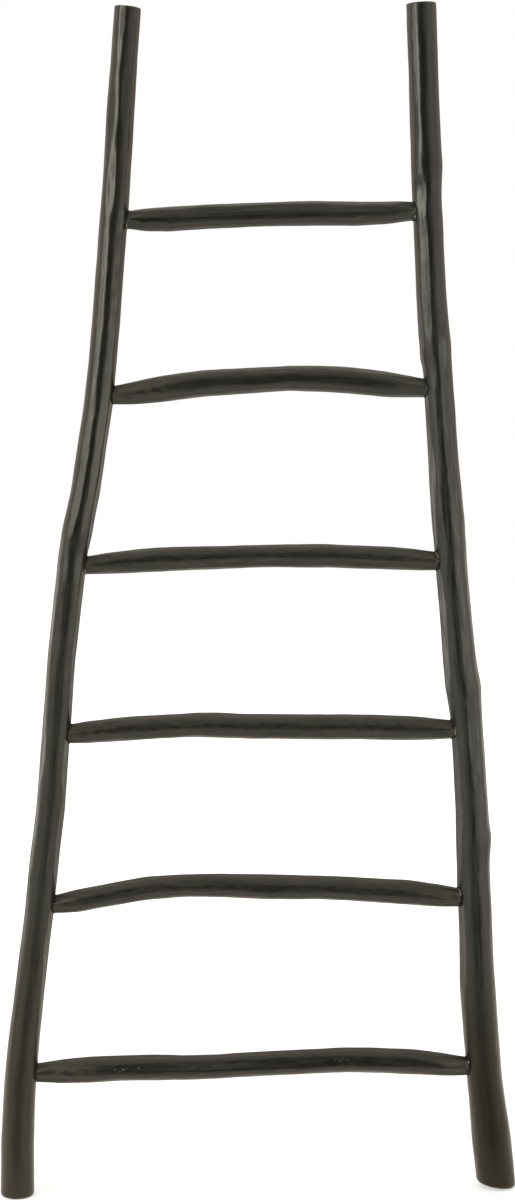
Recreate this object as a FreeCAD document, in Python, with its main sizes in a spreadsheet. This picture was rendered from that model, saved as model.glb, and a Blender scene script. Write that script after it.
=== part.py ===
# Decorative ladder: two crooked branch poles and six whittled rungs, pegged from behind.
# X runs from the left pole to the right one, Y from front to back and Z up; the floor is at zero.
import FreeCAD
import Part
import Sketcher
import os

os.makedirs("parts", exist_ok=True)
doc = FreeCAD.newDocument("decorative_ladder")

# Driving dimensions: millimetres, and degrees for the slants of the saw cuts
SIZES = {
    # The frame as a whole
    "foot_width": 659.3,            # across the outsides of the two feet
    # Left pole
    "left_pole_height": 1493.0,
    "left_pole_thickness": 40.6,    # at the foot, the thickest place
    "left_pole_lean": 146.8,        # how far the top stands in from the foot
    "left_pole_sway": 10.0,         # greatest wander to the side of a straight line
    "left_pole_bow": 6.0,           # greatest wander towards the back
    "left_foot_slant": 0.0,         # the saw cuts drop to the right by these
    "left_top_slant": 7.0,
    # Right pole
    "right_pole_height": 1500.0,
    "right_pole_thickness": 48.6,
    "right_pole_lean": 104.9,
    "right_pole_sway": 10.0,
    "right_pole_bow": 3.0,
    "right_foot_slant": 10.0,
    "right_top_slant": -3.0,
    # Worn edges of the saw cuts
    "foot_round": 3.0,
    "top_round": 2.0,
    # Rungs, from the lowest: height of the left joint, rise to the right joint, thickness,
    # upward crown and wander towards the back
    "rung_1_height": 158.0,
    "rung_1_rise": 0.5,
    "rung_1_thickness": 31.0,
    "rung_1_crown": 9.0,
    "rung_1_bow": 3.0,
    "rung_2_height": 374.5,
    "rung_2_rise": 3.0,
    "rung_2_thickness": 30.2,
    "rung_2_crown": 21.0,
    "rung_2_bow": 4.0,
    "rung_3_height": 592.0,
    "rung_3_rise": 2.5,
    "rung_3_thickness": 31.0,
    "rung_3_crown": 9.0,
    "rung_3_bow": 3.0,
    "rung_4_height": 804.5,
    "rung_4_rise": 3.5,
    "rung_4_thickness": 28.6,
    "rung_4_crown": 9.0,
    "rung_4_bow": 3.0,
    "rung_5_height": 1017.0,
    "rung_5_rise": 9.0,
    "rung_5_thickness": 31.8,
    "rung_5_crown": 15.0,
    "rung_5_bow": 3.0,
    "rung_6_height": 1233.5,
    "rung_6_rise": 11.5,
    "rung_6_thickness": 29.6,
    "rung_6_crown": 2.0,
    "rung_6_bow": 2.0,
    # Tenons and their blind sockets
    "joint_straight": 28.0,         # length of pole left straight where a rung goes in
    "tenon_diameter": 22.0,
    "tenon_depth": 22.0,            # into the pole, from its inner side
    "tenon_showing": 2.0,           # straight length left outside the pole
    "tenon_chamfer": 1.5,
    "socket_clearance": 0.15,       # glue line all round the tenon
    "socket_spare": 1.5,            # glue room behind the tenon's end
    "left_socket_setback": 2.5,     # socket behind the middle of the pole
    "right_socket_setback": -1.5,
    # Locking pegs
    "peg_width": 5.0,               # square
    "peg_clearance": 0.05,
    "peg_inset": 4.0,               # from the middle of the pole towards the rung
    "peg_bite": 2.5,                # into the pole beyond the tenon
    # All cuts run past the surface by this
    "cut_overrun": 12.0,
}

RUNG_COUNT = 6
# Which way along X the rungs lie from each pole
INWARDS = {"left": 1, "right": -1}

# Shape of each pole: bay, how far up that bay, sway, bow and thickness, as shares of the named sizes.
# Bay 0 starts at the floor and bay 1 at the lowest rung, so a rise of zero is a joint.
LEFT_SHARES = [
    (0, 0.00, 0.00, 0.00, 1.00),
    (0, 0.45, -0.63, 0.15, 0.97),
    (1, 0.00, -1.00, 0.30, 0.93),
    (1, 0.45, -0.91, 0.45, 0.87),
    (2, 0.00, -0.63, 0.45, 0.845),
    (2, 0.55, -0.44, 0.20, 0.835),
    (3, 0.00, -0.60, -0.05, 0.805),
    (3, 0.45, -0.72, -0.30, 0.81),
    (4, 0.00, -0.47, -0.70, 0.83),
    (4, 0.20, -0.22, -0.85, 0.89),
    (4, 0.45, 0.36, -0.95, 0.85),
    (5, 0.00, 0.87, -0.80, 0.845),
    (5, 0.40, 0.92, -0.40, 0.815),
    (6, 0.00, 0.68, 0.05, 0.82),
    (6, 0.25, 0.53, 0.20, 0.795),
    (6, 0.56, 0.26, 0.35, 0.825),
    (6, 0.78, 0.13, 0.30, 0.77),
    (6, 1.00, 0.00, 0.20, 0.765),
]
RIGHT_SHARES = [
    (0, 0.00, 0.00, 0.00, 1.00),
    (0, 0.45, -0.15, 0.00, 1.00),
    (0, 0.68, -0.32, -0.25, 0.935),
    (1, 0.00, -0.53, -0.45, 0.90),
    (1, 0.40, -0.68, -0.75, 0.91),
    (1, 0.62, -0.58, -0.90, 0.85),
    (2, 0.00, -0.39, -0.95, 0.82),
    (2, 0.20, -0.27, -0.90, 0.79),
    (2, 0.32, -0.06, -0.80, 0.86),
    (2, 0.50, 0.03, -0.65, 0.81),
    (3, 0.00, 0.08, -0.40, 0.795),
    (3, 0.25, -0.08, -0.05, 0.885),
    (3, 0.42, -0.32, 0.15, 0.825),
    (3, 0.75, -0.48, 0.40, 0.775),
    (4, 0.00, -0.60, 0.55, 0.78),
    (4, 0.22, -0.68, 0.70, 0.795),
    (4, 0.70, -0.73, 0.95, 0.72),
    (5, 0.00, -0.73, 0.90, 0.695),
    (5, 0.14, -0.70, 0.80, 0.69),
    (5, 0.27, -0.90, 0.70, 0.785),
    (5, 0.50, -1.01, 0.55, 0.75),
    (6, 0.00, -0.80, 0.20, 0.73),
    (6, 0.23, -0.57, 0.00, 0.785),
    (6, 0.48, -0.38, -0.20, 0.74),
    (6, 1.00, 0.00, -0.20, 0.735),
]
POLE_SHARES = {"left": LEFT_SHARES, "right": RIGHT_SHARES}

# Worn edge of a saw cut: distance from the cut and loss of radius, as shares of the round
WORN_EDGE_SHARES = [(0.0, 1.0), (0.3, 0.3), (1.0, 0.0)]

# Shape of each rung between its tenons: place along it, crown, bow and thickness, as shares
RUNG_SHARES = {
    1: [
        (0.06, 0.17, 0.15, 0.92),
        (0.13, 0.31, 0.30, 1.00),
        (0.42, 0.50, 1.00, 0.965),
        (0.72, 0.98, 0.55, 0.98),
        (0.88, 0.60, 0.20, 0.985),
        (0.95, 0.25, 0.05, 0.86),
    ],
    2: [
        (0.05, 0.19, -0.05, 0.885),
        (0.22, 0.87, -0.40, 0.925),
        (0.32, 1.00, -0.65, 0.93),
        (0.52, 0.87, -1.00, 1.00),
        (0.73, 0.67, -0.80, 0.945),
        (0.88, 0.34, -0.30, 1.00),
        (0.95, 0.14, -0.10, 0.88),
    ],
    3: [
        (0.05, 0.20, 0.05, 0.855),
        (0.14, 0.55, 0.25, 0.92),
        (0.33, 1.00, 0.75, 0.935),
        (0.64, 0.58, 1.00, 1.00),
        (0.88, 0.23, 0.30, 0.94),
        (0.95, 0.10, 0.10, 0.82),
    ],
    4: [
        (0.05, 0.21, -0.10, 0.84),
        (0.18, 0.66, -0.50, 0.99),
        (0.48, 1.02, -1.00, 0.94),
        (0.68, 0.90, -0.55, 1.00),
        (0.88, 0.45, -0.10, 0.955),
        (0.95, 0.20, 0.00, 0.87),
    ],
    5: [
        (0.05, 0.12, 0.10, 0.82),
        (0.13, 0.35, 0.35, 0.955),
        (0.28, 0.75, 0.80, 1.00),
        (0.56, 1.03, 1.00, 0.95),
        (0.76, 0.76, 0.45, 1.00),
        (0.88, 0.39, 0.20, 0.94),
        (0.95, 0.16, 0.05, 0.82),
    ],
    6: [
        (0.05, -0.15, -0.10, 0.895),
        (0.14, -0.20, -0.35, 0.975),
        (0.48, 1.00, -1.00, 0.965),
        (0.66, 0.65, -0.70, 1.00),
        (0.80, -0.35, -0.40, 0.96),
        (0.93, -0.25, -0.10, 0.87),
    ],
}

sheet = doc.addObject("Spreadsheet::Sheet", "Sizes")
for row, (alias, value) in enumerate(SIZES.items(), start=1):
    sheet.set(f"A{row}", alias)
    sheet.set(f"B{row}", str(value))
    sheet.setAlias(f"B{row}", alias)
doc.recompute()


def round_section(body, name, plane, place, across, tilt=None):
    """A circle sketched on one of the body's origin planes, at a place given in that plane's own axes."""
    sketch = body.newObject("Sketcher::SketchObject", name)
    support = next(f for f in body.Origin.OriginFeatures if f.Role == plane)
    sketch.AttachmentSupport = [(support, "")]
    sketch.MapMode = "FlatFace"
    sketch.addGeometry(Part.Circle(), False)
    sketch.addConstraint(Sketcher.Constraint("Coincident", 0, 3, -1, 1))
    sketch.addConstraint(Sketcher.Constraint("Diameter", 0, sheet.tenon_diameter))
    sketch.renameConstraint(1, "across")
    sketch.setExpression("Constraints.across", across)
    if tilt:
        lean = FreeCAD.Rotation(FreeCAD.Vector(0, 1, 0), sheet.right_foot_slant)
        sketch.AttachmentOffset = FreeCAD.Placement(FreeCAD.Vector(), lean)
        sketch.setExpression("AttachmentOffset.Rotation.Angle", tilt)
    for axis, text in zip("xyz", place):
        sketch.setExpression(f"AttachmentOffset.Base.{axis}", text)
    return sketch


def bay_start(side, bay):
    """Height at which a bay starts on this pole: the floor, a joint, or the top past the last joint."""
    if bay == 0:
        return "0"
    if bay > RUNG_COUNT:
        return f"Sizes.{side}_pole_height"
    if side == "left":
        return f"Sizes.rung_{bay}_height"
    return f"(Sizes.rung_{bay}_height + Sizes.rung_{bay}_rise)"


def pole_round(side, bay, rise, sway, bow, thickness):
    """Expressions for one round of a pole: its middle along X, Y and Z, and its diameter."""
    size = f"Sizes.{side}_pole"
    start = bay_start(side, bay)
    height = f"({start} + {rise} * ({bay_start(side, bay + 1)} - {start}))"
    foot = f"(Sizes.foot_width - {size}_thickness) / 2"
    x = f"({-INWARDS[side]} * ({foot} - {size}_lean * {height} / {size}_height) + {size}_sway * {sway})"
    return x, f"({size}_bow * {bow})", height, f"({size}_thickness * {thickness})"


def joint_round(side, rung):
    """The round of a pole at one of its joints."""
    return pole_round(side, *next(row for row in POLE_SHARES[side] if row[:2] == (rung, 0)))


def tenon_middle(side, rung):
    """Expressions for a tenon where the whittled rung ends: along X, Y and Z."""
    x, y, z, across = joint_round(side, rung)
    shoulder = f"({x} + {INWARDS[side]} * ({across} / 2 + Sizes.tenon_showing))"
    return shoulder, f"({y} + Sizes.{side}_socket_setback)", z


def bind_peg_box(box, side, rung, room, overrun):
    """Ties a box to a peg's place and size, with room at its sides and an overrun at the back."""
    x, y, z, across = joint_round(side, rung)
    width = f"(Sizes.peg_width + 2 * {room})"
    front = f"({tenon_middle(side, rung)[1]} - Sizes.tenon_diameter / 2 - Sizes.peg_bite)"
    outer = "(Sizes.peg_inset + Sizes.peg_width / 2)"
    back = f"({y} + sqrt(({across} / 2) ^ 2 - {outer} ^ 2))"
    middle = f"({x} + {INWARDS[side]} * Sizes.peg_inset)"
    corner = (f"{middle} - {width} / 2", front, f"{z} - {width} / 2")
    for axis, text in zip("xyz", corner):
        box.setExpression(f"Placement.Base.{axis}", text)
    box.setExpression("Length", width)
    box.setExpression("Width", f"{back} + {overrun} - {front}")
    box.setExpression("Height", width)


def cut_peg_hole(body, side, rung):
    """A square peg hole from the back, which must take wood away."""
    before = body.Shape.Volume
    hole = body.newObject("PartDesign::SubtractiveBox", f"{body.Label}_{side}_peg_hole_{rung}")
    bind_peg_box(hole, side, rung, "Sizes.peg_clearance", "Sizes.cut_overrun")
    doc.recompute()
    assert body.Shape.Volume < before, f"{hole.Name} cuts nothing"


def cut_socket(body, side, rung):
    """A blind round socket for a tenon, from the pole's inner side, which must take wood away."""
    before = body.Shape.Volume
    x, y, z, across = joint_round(side, rung)
    depth = "(Sizes.tenon_depth + Sizes.socket_spare)"
    bottom = f"{x} + {INWARDS[side]} * ({across} / 2 - {depth})"
    place = (tenon_middle(side, rung)[1], z, bottom)
    across = "Sizes.tenon_diameter + 2 * Sizes.socket_clearance"
    socket = body.newObject("PartDesign::Pocket", f"{side}_socket_{rung}")
    socket.Profile = round_section(body, f"{side}_socket_round_{rung}", "YZ_Plane", place, across)
    socket.Reversed = INWARDS[side] > 0
    socket.setExpression("Length", f"{depth} + Sizes.cut_overrun")
    doc.recompute()
    assert body.Shape.Volume < before, f"{socket.Name} cuts nothing"


def skin(body, plane, rounds):
    """A branch skinned over rounds from the last to the first, which turns its solid right side out."""
    name = body.Label
    sections = []
    for number, each in enumerate(rounds):
        sections.append(round_section(body, f"{name}_round_{number}", plane, *each))
    branch = body.newObject("PartDesign::AdditiveLoft", f"{name}_branch")
    branch.Profile = sections[-1]
    branch.Sections = sections[-2::-1]
    branch.Ruled = True
    doc.recompute()


def pole_tilt(side):
    """Angle of the pole's lean about Y, which its rounds lie square to."""
    return f"({INWARDS[side]} * atan(Sizes.{side}_pole_lean / Sizes.{side}_pole_height))"


def worn_end(side, end, row):
    """The rounds of a sawn end, from the cut inwards: place, diameter and slant of each."""
    x, y, z, across = pole_round(side, *row)
    worn = f"Sizes.{end}_round"
    slant = f"Sizes.{side}_{end}_slant"
    up = 1 if end == "foot" else -1
    level = f"({z} + {up} * ({across} / 2 - {worn}) * abs(sin({slant} * 1deg)))"
    rounds = []
    for away, loss in WORN_EDGE_SHARES:
        step = f"{up} * {away} * {worn}"
        place = (f"{x} + {step} * sin({slant} * 1deg)", y, f"{level} + {step} * cos({slant} * 1deg)")
        rounds.append((place, f"{across} - 2 * {loss} * {worn}", slant))
    return rounds


def make_pole(side):
    """A crooked branch skinned over rounds, with sawn ends, blind sockets and peg holes."""
    body = doc.addObject("PartDesign::Body", f"{side}_pole")
    tilt = pole_tilt(side)
    rounds = worn_end(side, "foot", POLE_SHARES[side][0])
    for row in POLE_SHARES[side][1:-1]:
        x, y, z, across = pole_round(side, *row)
        is_joint = row[1] == 0
        for half in (-1, 1) if is_joint else (0,):
            step = f"{half} * Sizes.joint_straight / 2"
            rounds.append(((f"{x} + {step} * sin({tilt})", y, f"{z} + {step} * cos({tilt})"), across, tilt))
    rounds += worn_end(side, "top", POLE_SHARES[side][-1])[::-1]
    skin(body, "XY_Plane", rounds)
    for rung in range(1, RUNG_COUNT + 1):
        cut_socket(body, side, rung)
        cut_peg_hole(body, side, rung)
    return body


def make_rung(rung):
    """A bowed branch skinned over rounds, whittled at both ends to a level tenon drilled for its peg."""
    body = doc.addObject("PartDesign::Body", f"rung_{rung}")
    size = f"Sizes.rung_{rung}"
    ends = {side: tenon_middle(side, rung) for side in INWARDS}
    rounds = []
    for along, crown, bow, thickness in RUNG_SHARES[rung]:
        x, y, z = (f"({a} + {along} * ({b} - {a}))" for a, b in zip(ends["left"], ends["right"]))
        place = (f"{y} + {size}_bow * {bow}", f"{z} + {size}_crown * {crown}", x)
        rounds.append((place, f"{size}_thickness * {thickness}"))
    tenons = {}
    for side, (x, y, z) in ends.items():
        tip = f"{x} - {INWARDS[side]} * (Sizes.tenon_showing + Sizes.tenon_depth)"
        chamfer = f"{tip} + {INWARDS[side]} * Sizes.tenon_chamfer"
        tenons[side] = [
            ((y, z, tip), "Sizes.tenon_diameter - 2 * Sizes.tenon_chamfer"),
            ((y, z, chamfer), "Sizes.tenon_diameter"),
            ((y, z, x), "Sizes.tenon_diameter"),
        ]
    rounds = tenons["left"] + rounds + tenons["right"][::-1]
    skin(body, "YZ_Plane", rounds)
    for side in INWARDS:
        cut_peg_hole(body, side, rung)
    return body


def make_peg(side, rung):
    """A square peg from the pole's back, through the tenon and a little way into the front wall."""
    peg = doc.addObject("Part::Box", f"peg_{side}_{rung}")
    bind_peg_box(peg, side, rung, "0", "0")
    return peg


pieces = [make_pole(side) for side in INWARDS]
pieces += [make_rung(rung) for rung in range(1, RUNG_COUNT + 1)]
pieces += [make_peg(side, rung) for side in INWARDS for rung in range(1, RUNG_COUNT + 1)]
doc.recompute()

for thing in doc.Objects:
    assert not {"Invalid", "Error"} & set(thing.State), f"{thing.Name} failed: {thing.State}"
for piece in pieces:
    shape = piece.Shape
    good = not shape.isNull() and shape.isValid() and len(shape.Solids) == 1
    assert good, f"{piece.Label} is not one good solid"
    shape.exportStep(f"parts/{piece.Label}.step")
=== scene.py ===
import math

import bpy
import numpy as np
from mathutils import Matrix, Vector, geometry
from mathutils.bvhtree import BVHTree


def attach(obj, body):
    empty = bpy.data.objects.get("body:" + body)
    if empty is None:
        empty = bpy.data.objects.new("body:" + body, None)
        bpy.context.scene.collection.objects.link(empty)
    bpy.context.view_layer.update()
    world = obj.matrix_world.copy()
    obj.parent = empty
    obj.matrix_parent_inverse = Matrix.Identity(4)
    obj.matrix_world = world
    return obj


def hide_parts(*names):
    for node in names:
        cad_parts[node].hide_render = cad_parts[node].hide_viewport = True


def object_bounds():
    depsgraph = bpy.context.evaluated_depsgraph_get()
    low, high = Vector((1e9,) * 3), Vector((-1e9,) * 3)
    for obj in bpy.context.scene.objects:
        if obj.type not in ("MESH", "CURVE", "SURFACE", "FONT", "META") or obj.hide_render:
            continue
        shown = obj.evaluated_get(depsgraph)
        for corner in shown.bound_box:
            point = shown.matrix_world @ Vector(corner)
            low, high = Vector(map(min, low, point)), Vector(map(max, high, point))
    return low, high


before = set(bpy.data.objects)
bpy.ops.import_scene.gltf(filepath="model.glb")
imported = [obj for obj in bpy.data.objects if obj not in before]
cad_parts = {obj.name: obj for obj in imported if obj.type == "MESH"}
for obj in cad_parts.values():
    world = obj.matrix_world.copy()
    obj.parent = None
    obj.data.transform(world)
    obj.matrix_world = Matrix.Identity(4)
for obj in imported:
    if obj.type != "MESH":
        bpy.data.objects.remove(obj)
cad_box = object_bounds()

# The poles: two whole young trunks, debarked, shaved and sanded by hand, and sawn to length at both ends.
# Knots and shaving flats are still there under the black stain and the satin lacquer.
# They stand on their sawn feet, and each has six sockets drilled into its inner side.
MM = 0.001
SIDES = ("left", "right")
POLE_LENGTHWAYS = 2
POLE_FACETS = 72
POLE_RING_GAP = 2.5 * MM
POLE_END_MARGIN = 18 * MM
FOOT_EDGE = 4.5 * MM
TOP_EDGE = 0.8 * MM
EDGE_TURNS = (22, 45, 68, 90)
END_FACE_SHARES = np.linspace(0.92, 0.1, 10)
RIM_WEAR = 4 * MM
SAWN_DEPTH = 12 * MM
SAWN_SQUARENESS = 0.95
SLICE_GAP = 10 * MM
ROUND_GAP = 2 * MM
SOFTENING = 12 * MM
FULLNESS = 0.4 * MM
# The long swells and short ripples that sanding leaves, and how often they come and go round a branch,
# against its radius
POLE_SANDING = {"Swell height": 0.5 * MM, "Swell length": 90 * MM, "Ripple height": 0.2 * MM,
                "Ripple length": 34 * MM}
POLE_SANDING_SEED = 3.0
TURNS_ROUND = {"Swell": 0.9, "Ripple": 1.7}
# How many times a place on a curved branch is worked out again from where it came to lie
SETTLING_STEPS = 3


def smooth(values, reach):
    """A running average over some samples to each side, with the ends carried on straight."""
    head = 2 * values[0] - values[reach:0:-1]
    tail = 2 * values[-1] - values[-2:-reach - 2:-1]
    window = np.hanning(2 * reach + 3)[1:-1]
    return np.convolve(np.r_[head, values, tail], window / window.sum(), "valid")


def branch_rounds(node, lengthways, margin):
    """Places along a branch with its middle and radius there, fitted to slices of its solid and softened."""
    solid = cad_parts[node].data
    points = np.array([vertex.co for vertex in solid.vertices])
    runs = points[np.array([edge.vertices[:] for edge in solid.edges])]
    starts, ends = runs[:, 0], runs[:, 1]
    low, high = points[:, lengthways].min(), points[:, lengthways].max()
    across = [axis for axis in range(3) if axis != lengthways]
    levels = np.arange(low + margin, high - margin, SLICE_GAP)
    rounds = []
    for level in levels:
        crossing = (starts[:, lengthways] < level) != (ends[:, lengthways] < level)
        a, b = starts[crossing], ends[crossing]
        share = (level - a[:, lengthways]) / (b[:, lengthways] - a[:, lengthways])
        cut = (a + share[:, None] * (b - a))[:, across]
        # The hull of the cut leaves out the sockets and peg holes
        hull = cut[geometry.convex_hull_2d([tuple(point) for point in cut])]
        fit = np.linalg.lstsq(np.c_[2 * hull, np.ones(len(hull))], (hull ** 2).sum(1), rcond=None)[0]
        # A branch starts a little fuller than its mean round, which the knife flats take off again
        rounds.append((fit[0], fit[1], math.sqrt(fit[2] + fit[0] ** 2 + fit[1] ** 2) + FULLNESS))
    fine = np.arange(low - margin, high + margin, ROUND_GAP)
    columns = []
    for column in np.array(rounds).T:
        slope = np.gradient(column, levels)
        before = column[0] + slope[0] * np.minimum(fine - levels[0], 0)
        after = slope[-1] * np.maximum(fine - levels[-1], 0)
        inside = np.interp(fine, levels, column)
        column = np.where(fine < levels[0], before, inside + after)
        columns.append(smooth(column, round(SOFTENING / ROUND_GAP)))
    return fine, *columns


def saw_cut(node, lengthways, upper):
    """The plane of a sawn end, read from the solid: its outward normal and its distance from the origin."""
    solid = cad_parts[node].data
    points = np.array([vertex.co for vertex in solid.vertices])
    side = 1 if upper else -1
    end = (side * points[:, lengthways]).max()
    normal = Vector()
    for face in solid.polygons:
        near = end - side * face.center[lengthways] < SAWN_DEPTH
        if near and side * face.normal[lengthways] > SAWN_SQUARENESS:
            normal += face.normal * face.area
    normal.normalize()
    return np.array(normal), (points @ np.array(normal)).max()


def level_at_cut(cut, edge, lengthways, rounds, around):
    """How far along a branch each of the lines round it meets the saw cut, just inside the worn edge."""
    normal, distance = cut
    levels, u, v, radii = rounds
    first_axis, second_axis = [axis for axis in range(3) if axis != lengthways]
    level = np.full(len(around), distance / normal[lengthways])
    for step in range(SETTLING_STEPS):
        wide = np.interp(level, levels, radii) - edge
        x = np.interp(level, levels, u) + wide * np.cos(around)
        y = np.interp(level, levels, v) + wide * np.sin(around)
        level = (distance - normal[first_axis] * x - normal[second_axis] * y) / normal[lengthways]
    return level


def branch_mesh(node, lengthways, rounds, cuts, facets, ring_gap, edges, carve):
    """A closed tube of even rings along a branch, with worn edges and a ringed face at each sawn end."""
    levels, u, v, radii = rounds
    first_axis, second_axis = [axis for axis in range(3) if axis != lengthways]
    around = np.arange(facets) * 2 * math.pi / facets
    low, high = [level_at_cut(cut, edge, lengthways, rounds, around) for cut, edge in zip(cuts, edges)]
    count = round((high - low).mean() / ring_gap)
    shares = np.linspace(0, 1, count)[:, None]
    body = low + edges[0] + shares * (high - low - sum(edges))
    wide = carve(body, around, np.interp(body, levels, radii))
    worn = np.exp(-np.minimum(body - low, high - body) / RIM_WEAR)
    rings = [(body[i], wide[i], 0.0, worn[i]) for i in range(count)]
    for end, side, edge in ((low, -1, edges[0]), (high, 1, edges[1])):
        base = wide[0 if side < 0 else -1]
        cap = []
        for turn in np.radians(EDGE_TURNS):
            level = end - side * edge * (1 - math.sin(turn))
            # End grain comes out over the last third of the worn edge
            end_grain = max(0, 3 * math.sin(turn) - 2)
            cap.append((level, base - edge * (1 - math.cos(turn)), end_grain, 1.0))
        for share in END_FACE_SHARES:
            cap.append((end, (base - edge) * share, 1.0, 0.0))
        rings = rings + cap if side > 0 else cap[::-1] + rings
    columns = [[np.broadcast_to(value, facets) for value in column] for column in zip(*rings)]
    level, wide, is_end, wear = map(np.array, columns)
    points = np.zeros((len(rings), facets, 3))
    points[..., first_axis] = np.interp(level, levels, u) + wide * np.cos(around)
    points[..., second_axis] = np.interp(level, levels, v) + wide * np.sin(around)
    points[..., lengthways] = level
    # The sawn faces are flat, so their rings are brought onto the cut
    face_rings = len(END_FACE_SHARES)
    for (normal, distance), ring in zip(cuts, (slice(0, face_rings), slice(-face_rings, None))):
        across = points[ring][..., [first_axis, second_axis]] @ normal[[first_axis, second_axis]]
        points[ring][..., lengthways] = (distance - across) / normal[lengthways]
    grain = np.stack([wide * np.cos(around), wide * np.sin(around), level], axis=-1)
    corners = np.vstack([points.reshape(-1, 3), points[0].mean(0), points[-1].mean(0)])
    grain = np.vstack([grain.reshape(-1, 3), [0, 0, level[0].mean()], [0, 0, level[-1].mean()]])
    index = np.arange(len(rings) * facets).reshape(len(rings), facets)
    beside = np.roll(index, -1, axis=1)
    faces = np.stack([index[:-1], beside[:-1], beside[1:], index[1:]], axis=-1).reshape(-1, 4).tolist()
    pith = len(rings) * facets
    faces += [(pith, beside[0, j], index[0, j]) for j in range(facets)]
    faces += [(pith + 1, index[-1, j], beside[-1, j]) for j in range(facets)]
    mesh = bpy.data.meshes.new(node)
    mesh.from_pydata(corners.tolist(), [], faces)
    mesh.attributes.new("grain", "FLOAT_VECTOR", "POINT").data.foreach_set("vector", grain.ravel())
    for name, values in (("end_grain", is_end), ("wear", wear)):
        values = np.r_[values.ravel(), values[0, 0], values[-1, 0]]
        mesh.attributes.new(name, "FLOAT", "POINT").data.foreach_set("value", values)
    return mesh


def add_node(tree, kind, inputs=None, **settings):
    """A new node with its settings; each input takes a value, or a link from the socket or node given."""
    node = tree.nodes.new(kind)
    for name, value in settings.items():
        setattr(node, name, value)
    for name, value in (inputs or {}).items():
        if isinstance(value, bpy.types.Node):
            value = value.outputs[0]
        if isinstance(value, bpy.types.NodeSocket):
            tree.links.new(value, node.inputs[name])
        else:
            node.inputs[name].default_value = value
    return node


def start_tree(name, sizes):
    """A tree of nodes that is given a shape, those sizes and a finish, and the node that they come in by."""
    tree = bpy.data.node_groups.new(name, "GeometryNodeTree")
    tree.interface.new_socket("Shape", in_out="INPUT", socket_type="NodeSocketGeometry")
    for size in sizes:
        tree.interface.new_socket(size, in_out="INPUT", socket_type="NodeSocketFloat")
    tree.interface.new_socket("Finish", in_out="INPUT", socket_type="NodeSocketMaterial")
    tree.interface.new_socket("Shape", in_out="OUTPUT", socket_type="NodeSocketGeometry")
    return tree, add_node(tree, "NodeGroupInput")


def end_tree(tree, given, shape):
    """Gives out the tree's shape, shaded smooth, as real faces and with its finish."""
    shaded = add_node(tree, "GeometryNodeSetShadeSmooth", {"Geometry": shape})
    real = add_node(tree, "GeometryNodeRealizeInstances", {"Geometry": shaded})
    finished = add_node(tree, "GeometryNodeSetMaterial",
                        {"Geometry": real, "Material": given.outputs["Finish"]})
    add_node(tree, "NodeGroupOutput", {0: finished})


def sanding_tree():
    """Nodes that raise the long swells and short ripples which sanding by hand leaves on a branch."""
    tree, given = start_tree("Hand-sanded branch", (*POLE_SANDING, "Seed"))
    grain = add_node(tree, "GeometryNodeInputNamedAttribute", {"Name": "grain"}, data_type="FLOAT_VECTOR")
    place = add_node(tree, "ShaderNodeSeparateXYZ", {0: grain})
    flat = add_node(tree, "ShaderNodeCombineXYZ", {"X": place.outputs["X"], "Y": place.outputs["Y"]})
    round_off = add_node(tree, "ShaderNodeVectorMath", {0: flat}, operation="NORMALIZE")
    heights = []
    for kind, turns in TURNS_ROUND.items():
        along = add_node(tree, "ShaderNodeMath",
                         {0: place.outputs["Z"], 1: given.outputs[f"{kind} length"]}, operation="DIVIDE")
        lengthwise = add_node(tree, "ShaderNodeCombineXYZ", {"Z": along})
        spot = add_node(tree, "ShaderNodeVectorMath",
                        {0: round_off, 1: (turns,) * 3, 2: lengthwise}, operation="MULTIPLY_ADD")
        noise = add_node(tree, "ShaderNodeTexNoise",
                         {"Vector": spot, "W": given.outputs["Seed"], "Scale": 1.0, "Detail": 1.0,
                          "Roughness": 0.4}, noise_dimensions="4D")
        signed = add_node(tree, "ShaderNodeMapRange",
                          {"Value": noise, "From Min": 0.25, "From Max": 0.75, "To Min": -1.0}, clamp=False)
        heights.append(add_node(tree, "ShaderNodeMath",
                                {0: signed, 1: given.outputs[f"{kind} height"]}, operation="MULTIPLY"))
    height = add_node(tree, "ShaderNodeMath", {0: heights[0], 1: heights[1]}, operation="ADD")
    # Sawn ends and their edges stay as they are
    wear = add_node(tree, "GeometryNodeInputNamedAttribute", {"Name": "wear"}, data_type="FLOAT")
    end = add_node(tree, "GeometryNodeInputNamedAttribute", {"Name": "end_grain"}, data_type="FLOAT")
    edge = add_node(tree, "ShaderNodeMath", {0: wear, 1: end}, operation="MAXIMUM")
    away = add_node(tree, "ShaderNodeMath", {0: 1.0, 1: edge}, operation="SUBTRACT")
    raised = add_node(tree, "ShaderNodeMath", {0: height, 1: away}, operation="MULTIPLY")
    outwards = add_node(tree, "GeometryNodeInputNormal")
    offset = add_node(tree, "ShaderNodeVectorMath", {0: outwards, "Scale": raised}, operation="SCALE")
    moved = add_node(tree, "GeometryNodeSetPosition", {"Geometry": given.outputs["Shape"], "Offset": offset})
    end_tree(tree, given, moved)
    return tree


def grown(name, mesh, tree, sizes):
    """An object whose plain mesh is what the tree makes of the given one, its inputs set by name."""
    piece = bpy.data.objects.new(name, mesh)
    bpy.context.scene.collection.objects.link(piece)
    modifier = piece.modifiers.new(tree.name, "NODES")
    modifier.node_group = tree
    for socket in tree.interface.items_tree:
        if socket.in_out == "INPUT" and socket.name in sizes:
            modifier[socket.identifier] = sizes[socket.name]
    depsgraph = bpy.context.evaluated_depsgraph_get()
    made = bpy.data.meshes.new_from_object(piece.evaluated_get(depsgraph), preserve_all_data_layers=True,
                                           depsgraph=depsgraph)
    piece.modifiers.clear()
    piece.data = made
    made.name = name
    return piece


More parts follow.
